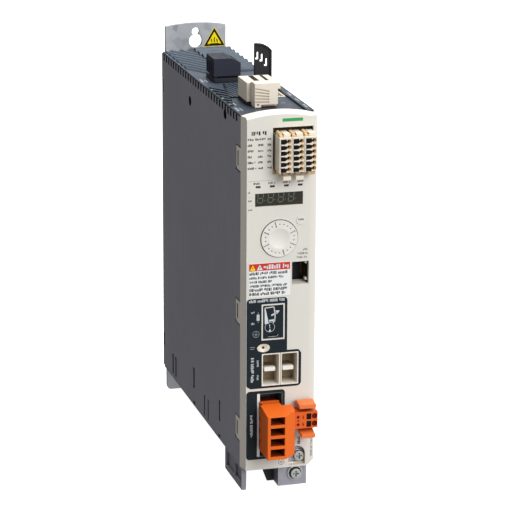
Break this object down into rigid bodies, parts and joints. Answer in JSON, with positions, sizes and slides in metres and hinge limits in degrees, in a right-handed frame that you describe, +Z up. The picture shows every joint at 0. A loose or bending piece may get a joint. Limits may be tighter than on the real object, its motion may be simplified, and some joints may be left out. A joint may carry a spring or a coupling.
{
  "type": "servo drive",
  "caption": "Book-style servo drive with a keyhole mounting plate, louvred metal sides, operator panel with dial and display, plug-in terminals, DC bus sockets and a cooling fan.",
  "frame": {"origin": "centre of the rear mounting face, midway across the housing", "axes": "+Z up along the height, +Y out of the back into the panel, +X to the right as seen from the front"},
  "size_m": [0.048, 0.247, 0.2784],
  "materials": {
    "zinc_steel": "galvanised sheet",
    "charcoal_paint": "fine matt powder coat",
    "slate_plastic": "satin moulded",
    "foot_plastic": "satin moulded",
    "cream_plastic": "fine texture",
    "plug_cream": "satin moulded",
    "tan_plastic": "satin moulded",
    "navy_print": "printed film",
    "white_print": "printed film",
    "orange_plastic": "satin moulded",
    "black_plastic": "satin moulded",
    "mains_plastic": "satin moulded",
    "screw_steel": "zinc plated",
    "sink_alu": "extruded",
    "board_green": "solder mask",
    "capacitor_film": "shrink sleeve",
    "copper_wire": "enamelled winding",
    "relay_blue": "satin moulded",
    "contact_gold": "gold plated",
    "smoke_window": "tinted window",
    "led_lens": "tinted lens"
  },
  "bodies": {
    "root": {"back_plate": "zinc_steel", "left_side_panel": "charcoal_paint", "right_side_panel": "charcoal_paint", "top_grille": "slate_plastic", "bottom_grille": "charcoal_paint", "front_cover": "cream_plastic", "left_foot": "foot_plastic", "rear_shield": "black_plastic", "earth_bracket": "zinc_steel", "earth_screws": "screw_steel", "cable_guide": "black_plastic", "heat_sink": "sink_alu", "power_module": "black_plastic", "module_screws": "screw_steel", "power_board": "board_green", "capacitors": "capacitor_film", "line_choke": "copper_wire", "relay": "relay_blue", "control_board": "board_green", "fan_frame": "black_plastic", "mains_socket": "slate_plastic", "sto_socket": "slate_plastic", "encoder_jack": "plug_cream", "io_header": "black_plastic", "status_leds": "led_lens", "display_module": "black_plastic", "display_window": "smoke_window", "dial_encoder": "zinc_steel", "esc_switch": "black_plastic", "comms_jack": "black_plastic", "comms_contacts": "contact_gold", "warning_label": "white_print", "upper_label": "navy_print", "lower_label": "navy_print", "resistor_socket": "plug_cream", "test_cup": "cream_plastic", "dc_bus_socket": "cream_plastic", "dc_bus_blades": "white_print", "motor_socket": "slate_plastic", "brake_socket": "orange_plastic"},
    "dial_plunger": {"dial_shaft": "screw_steel"},
    "dial": {"jog_dial": "cream_plastic"},
    "escape": {"esc_button": "cream_plastic"},
    "signal_plug_1": {"io_plug_1": "plug_cream"},
    "signal_levers_1": {"io_levers_1": "black_plastic"},
    "signal_plug_2": {"io_plug_2": "plug_cream"},
    "signal_levers_2": {"io_levers_2": "black_plastic"},
    "signal_plug_3": {"io_plug_3": "plug_cream"},
    "signal_levers_3": {"io_levers_3": "black_plastic"},
    "motor_connector": {"motor_plug": "orange_plastic", "motor_clamps": "screw_steel"},
    "brake_connector": {"brake_plug": "orange_plastic"},
    "brake_top_lever": {"brake_lever_top": "orange_plastic"},
    "brake_bottom_lever": {"brake_lever_bottom": "orange_plastic"},
    "brake_releases": {"brake_buttons": "black_plastic"},
    "mains_connector": {"mains_plug": "mains_plastic"},
    "safety_connector": {"sto_plug": "plug_cream", "sto_release": "plug_cream"},
    "knock_out": {"resistor_cover": "navy_print"},
    "fan_rotor": {"fan_impeller": "black_plastic"}
  },
  "joints": [
    {"name": "dial_push", "type": "slide", "parent": "root", "child": "dial_plunger", "axis": [0, 1, 0], "range_m": [0, 0.0008], "stiffness_N_per_m": 400, "springref_m": -0.001},
    {"name": "dial_turn", "type": "hinge", "parent": "dial_plunger", "child": "dial", "pos_m": [-0.0008, -0.225, 0.038], "axis": [0, -1, 0], "continuous": true},
    {"name": "escape_push", "type": "slide", "parent": "root", "child": "escape", "axis": [0, 1, 0], "range_m": [0, 0.0005], "stiffness_N_per_m": 400, "springref_m": -0.001},
    {"name": "signal_plug_1_pull", "type": "slide", "parent": "root", "child": "signal_plug_1", "axis": [0, -1, 0], "range_m": [0, 0.03]},
    {"name": "signal_levers_1_push", "type": "slide", "parent": "signal_plug_1", "child": "signal_levers_1", "axis": [0, 1, 0], "range_m": [0, 0.0012], "stiffness_N_per_m": 400, "springref_m": -0.001},
    {"name": "signal_plug_2_pull", "type": "slide", "parent": "root", "child": "signal_plug_2", "axis": [0, -1, 0], "range_m": [0, 0.03]},
    {"name": "signal_levers_2_push", "type": "slide", "parent": "signal_plug_2", "child": "signal_levers_2", "axis": [0, 1, 0], "range_m": [0, 0.0012], "stiffness_N_per_m": 400, "springref_m": -0.001},
    {"name": "signal_plug_3_pull", "type": "slide", "parent": "root", "child": "signal_plug_3", "axis": [0, -1, 0], "range_m": [0, 0.03]},
    {"name": "signal_levers_3_push", "type": "slide", "parent": "signal_plug_3", "child": "signal_levers_3", "axis": [0, 1, 0], "range_m": [0, 0.0012], "stiffness_N_per_m": 400, "springref_m": -0.001},
    {"name": "motor_plug_pull", "type": "slide", "parent": "root", "child": "motor_connector", "axis": [0, -1, 0], "range_m": [0, 0.04]},
    {"name": "brake_plug_pull", "type": "slide", "parent": "root", "child": "brake_connector", "axis": [0, -1, 0], "range_m": [0, 0.03]},
    {"name": "brake_top_lever_tilt", "type": "hinge", "parent": "brake_connector", "child": "brake_top_lever", "pos_m": [0.0158, -0.2276, -0.073], "axis": [1, 0, 0], "range_deg": [0, 8], "stiffness_Nm_per_rad": 0.02},
    {"name": "brake_bottom_lever_tilt", "type": "hinge", "parent": "brake_connector", "child": "brake_bottom_lever", "pos_m": [0.0158, -0.2276, -0.0902], "axis": [1, 0, 0], "range_deg": [-8, 0], "stiffness_Nm_per_rad": 0.02},
    {"name": "brake_release_push", "type": "slide", "parent": "brake_connector", "child": "brake_releases", "axis": [0, 1, 0], "range_m": [0, 0.001], "stiffness_N_per_m": 400, "springref_m": -0.001},
    {"name": "mains_plug_pull", "type": "slide", "parent": "root", "child": "mains_connector", "axis": [0, 0, 1], "range_m": [0, 0.025]},
    {"name": "safety_plug_pull", "type": "slide", "parent": "root", "child": "safety_connector", "axis": [0, 0, 1], "range_m": [0, 0.025]},
    {"name": "knock_out_pull", "type": "slide", "parent": "root", "child": "knock_out", "axis": [0, -1, 0], "range_m": [0, 0.01]},
    {"name": "fan_spin", "type": "hinge", "parent": "root", "child": "fan_rotor", "pos_m": [0, -0.06, -0.108], "axis": [0, 0, 1], "continuous": true}
  ]
}
